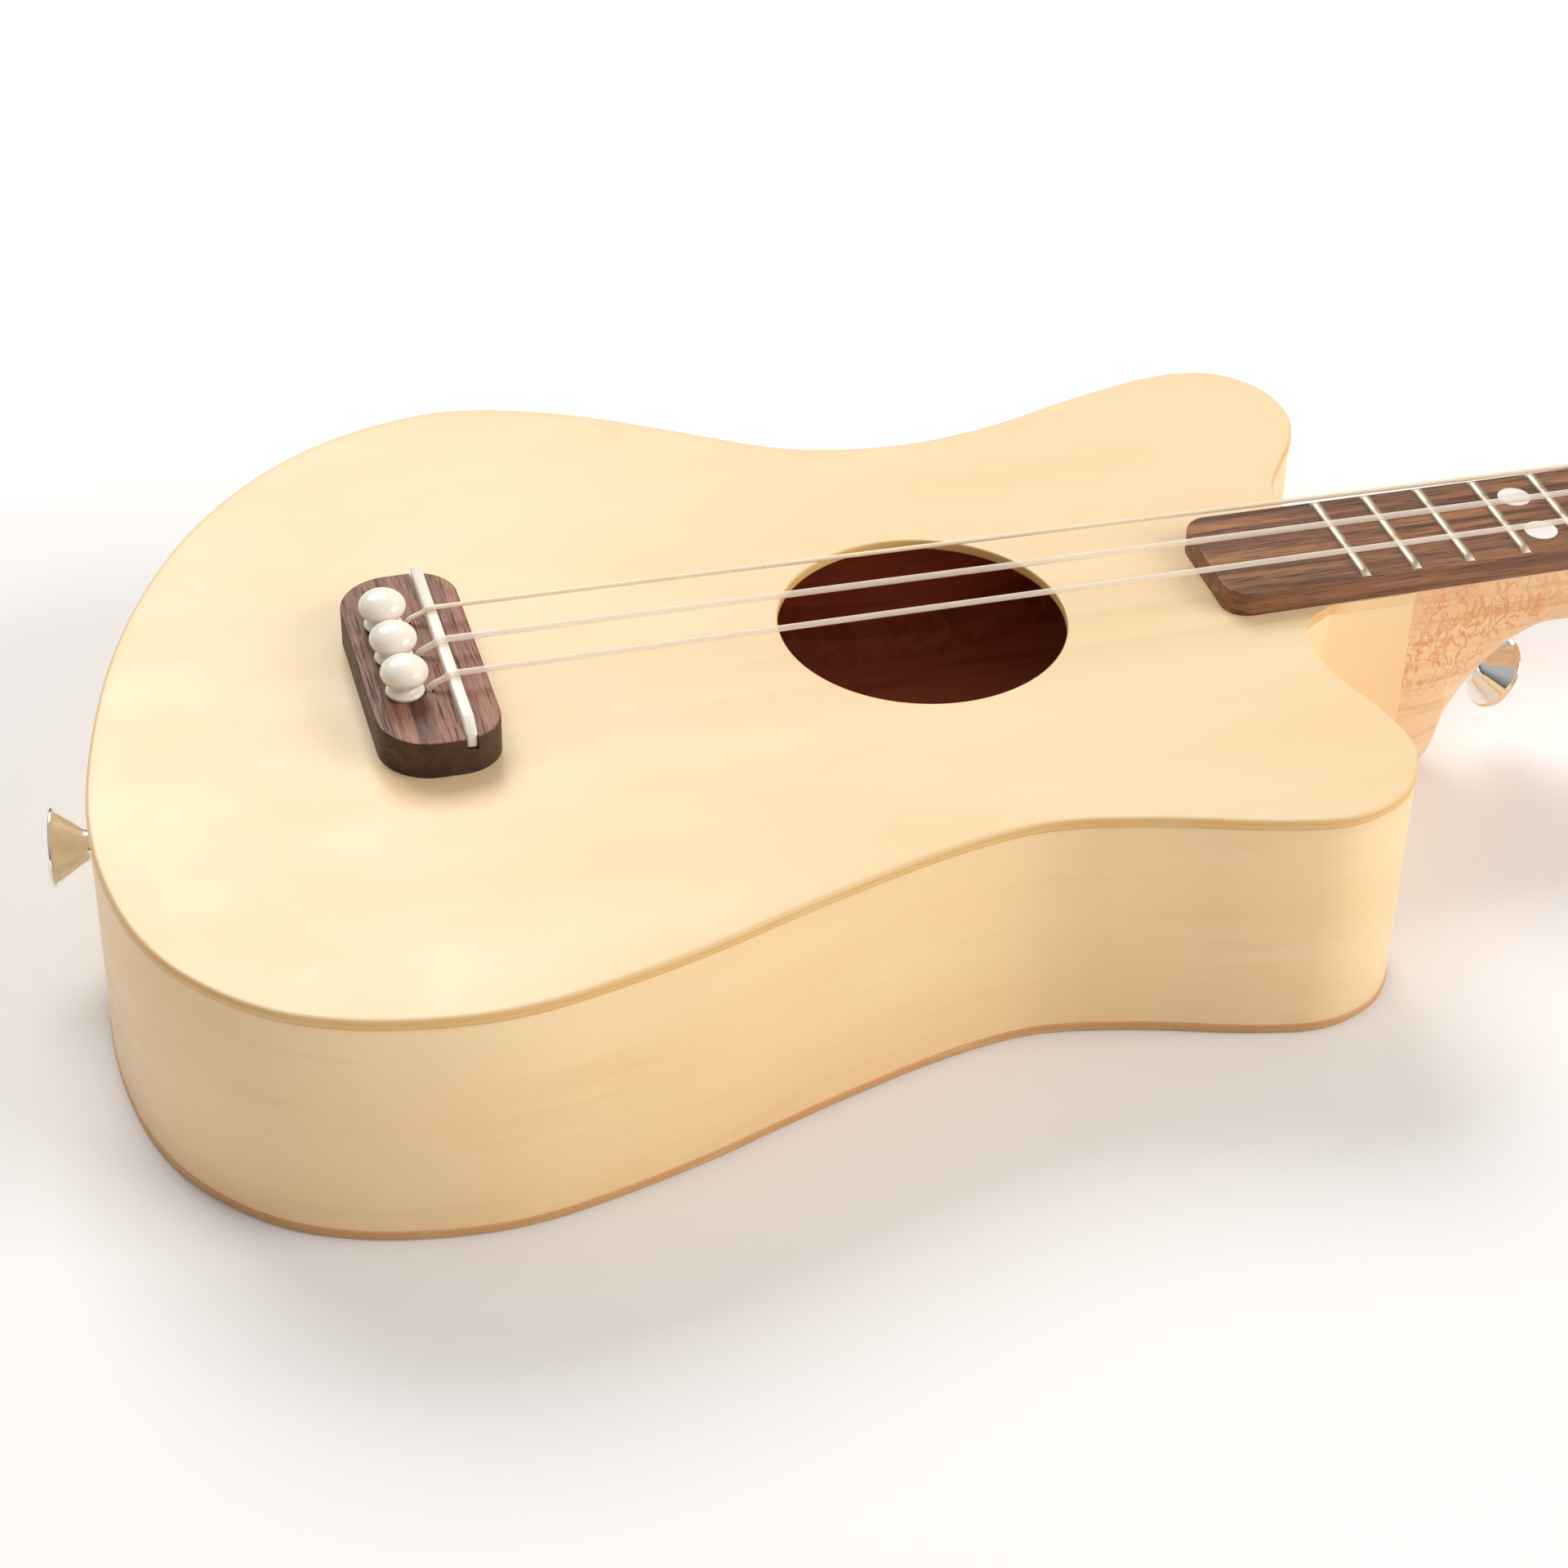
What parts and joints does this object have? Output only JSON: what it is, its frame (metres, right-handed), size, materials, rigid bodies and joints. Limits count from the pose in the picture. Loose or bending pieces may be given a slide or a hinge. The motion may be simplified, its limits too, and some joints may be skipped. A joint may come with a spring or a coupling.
{
  "type": "three-string guitar",
  "caption": "Small flat-bodied acoustic guitar with two cutaways, a bolted neck, a pinned bridge, nylon strings and turning machine heads.",
  "frame": {"origin": "on the outside face of the flat back, on the centreline, straight below the saddle", "axes": "+X along the strings from the saddle to the head, +Y to the bass side, +Z out of the soundboard"},
  "size_m": [0.5647, 0.1804, 0.0613],
  "materials": {
    "soundboard_ply": "clear satin lacquer over cream plywood",
    "side_ply": "clear satin lacquer over pale plywood",
    "inner_spruce": "bare sanded wood",
    "bridge_plate_maple": "bare sanded wood",
    "bridge_walnut": "oiled dark open-grained wood",
    "fretboard_walnut": "oiled dark open-grained wood",
    "neck_wood": "satin lacquer over pink-tan flecked wood",
    "saddle_nut": "polished ivory-white",
    "pin_plastic": "glossy ivory-white",
    "button_chrome": "bright polished plating",
    "bolt_steel": "zinc-grey",
    "fret_nickel": "polished nickel silver",
    "string_bass": "opaque cream nylon",
    "string_clear": "translucent nylon",
    "tuner_chrome": "bright plating",
    "tuner_button": "glossy ivory-white"
  },
  "bodies": {
    "guitar": {"top_plate": "soundboard_ply", "back_plate": "soundboard_ply", "rim": "side_ply", "neck_block": "inner_spruce", "tail_block": "inner_spruce", "top_lining": "inner_spruce", "back_lining": "inner_spruce", "top_brace_upper": "inner_spruce", "top_brace_lower": "inner_spruce", "back_brace_upper": "inner_spruce", "back_brace_lower": "inner_spruce", "bridge_plate": "bridge_plate_maple", "bridge": "bridge_walnut", "saddle": "saddle_nut", "strap_button_tail": "button_chrome", "strap_screw_tail": "button_chrome", "strap_button_heel": "button_chrome", "strap_screw_heel": "button_chrome", "neck": "neck_wood", "neck_bolt_upper": "bolt_steel", "neck_bolt_lower": "bolt_steel", "fretboard": "fretboard_walnut", "fret_01": "fret_nickel", "fret_02": "fret_nickel", "fret_03": "fret_nickel", "fret_04": "fret_nickel", "fret_05": "fret_nickel", "fret_06": "fret_nickel", "fret_07": "fret_nickel", "fret_08": "fret_nickel", "fret_09": "fret_nickel", "fret_10": "fret_nickel", "fret_11": "fret_nickel", "fret_12": "fret_nickel", "fret_13": "fret_nickel", "fret_14": "fret_nickel", "fret_15": "fret_nickel", "nut": "saddle_nut", "string_bass": "string_bass", "string_middle": "string_clear", "string_treble": "string_clear", "tuner_plate_bass": "tuner_chrome", "tuner_plate_middle": "tuner_chrome", "tuner_plate_treble": "tuner_chrome", "tuner_bushing_bass": "tuner_chrome", "tuner_bushing_middle": "tuner_chrome", "tuner_bushing_treble": "tuner_chrome"},
    "bridge_pin_bass": {"bridge_pin_bass": "pin_plastic"},
    "bridge_pin_middle": {"bridge_pin_middle": "pin_plastic"},
    "bridge_pin_treble": {"bridge_pin_treble": "pin_plastic"},
    "tuner_post_bass": {"tuner_post_bass": "tuner_chrome"},
    "tuner_post_middle": {"tuner_post_middle": "tuner_chrome"},
    "tuner_post_treble": {"tuner_post_treble": "tuner_chrome"},
    "tuner_knob_bass": {"tuner_worm_bass": "tuner_chrome", "tuner_button_bass": "tuner_button"},
    "tuner_knob_middle": {"tuner_worm_middle": "tuner_chrome", "tuner_button_middle": "tuner_button"},
    "tuner_knob_treble": {"tuner_worm_treble": "tuner_chrome", "tuner_button_treble": "tuner_button"}
  },
  "joints": [
    {"name": "pin_pull_bass", "type": "slide", "parent": "guitar", "child": "bridge_pin_bass", "axis": [0, 0, 1], "range_m": [0, 0.03]},
    {"name": "pin_pull_middle", "type": "slide", "parent": "guitar", "child": "bridge_pin_middle", "axis": [0, 0, 1], "range_m": [0, 0.03]},
    {"name": "pin_pull_treble", "type": "slide", "parent": "guitar", "child": "bridge_pin_treble", "axis": [0, 0, 1], "range_m": [0, 0.03]},
    {"name": "post_turn_bass", "type": "hinge", "parent": "guitar", "child": "tuner_post_bass", "pos_m": [0.428, 0.0107, 0.0272], "axis": [0, 0, 1], "continuous": true},
    {"name": "knob_turn_bass", "type": "hinge", "parent": "guitar", "child": "tuner_knob_bass", "pos_m": [0.4361, 0.0107, 0.0272], "axis": [0, 1, 0], "continuous": true},
    {"name": "post_turn_middle", "type": "hinge", "parent": "guitar", "child": "tuner_post_middle", "pos_m": [0.45, 0.0032, 0.0272], "axis": [0, 0, 1], "continuous": true},
    {"name": "knob_turn_middle", "type": "hinge", "parent": "guitar", "child": "tuner_knob_middle", "pos_m": [0.4581, 0.0032, 0.0272], "axis": [0, 1, 0], "continuous": true},
    {"name": "post_turn_treble", "type": "hinge", "parent": "guitar", "child": "tuner_post_treble", "pos_m": [0.472, -0.0043, 0.0272], "axis": [0, 0, 1], "continuous": true},
    {"name": "knob_turn_treble", "type": "hinge", "parent": "guitar", "child": "tuner_knob_treble", "pos_m": [0.4801, -0.0043, 0.0272], "axis": [0, 1, 0], "continuous": true}
  ],
  "couplings": [
    {"joint": "post_turn_bass", "follows": "knob_turn_bass", "ratio": -0.071429},
    {"joint": "post_turn_middle", "follows": "knob_turn_middle", "ratio": -0.071429},
    {"joint": "post_turn_treble", "follows": "knob_turn_treble", "ratio": -0.071429}
  ]
}
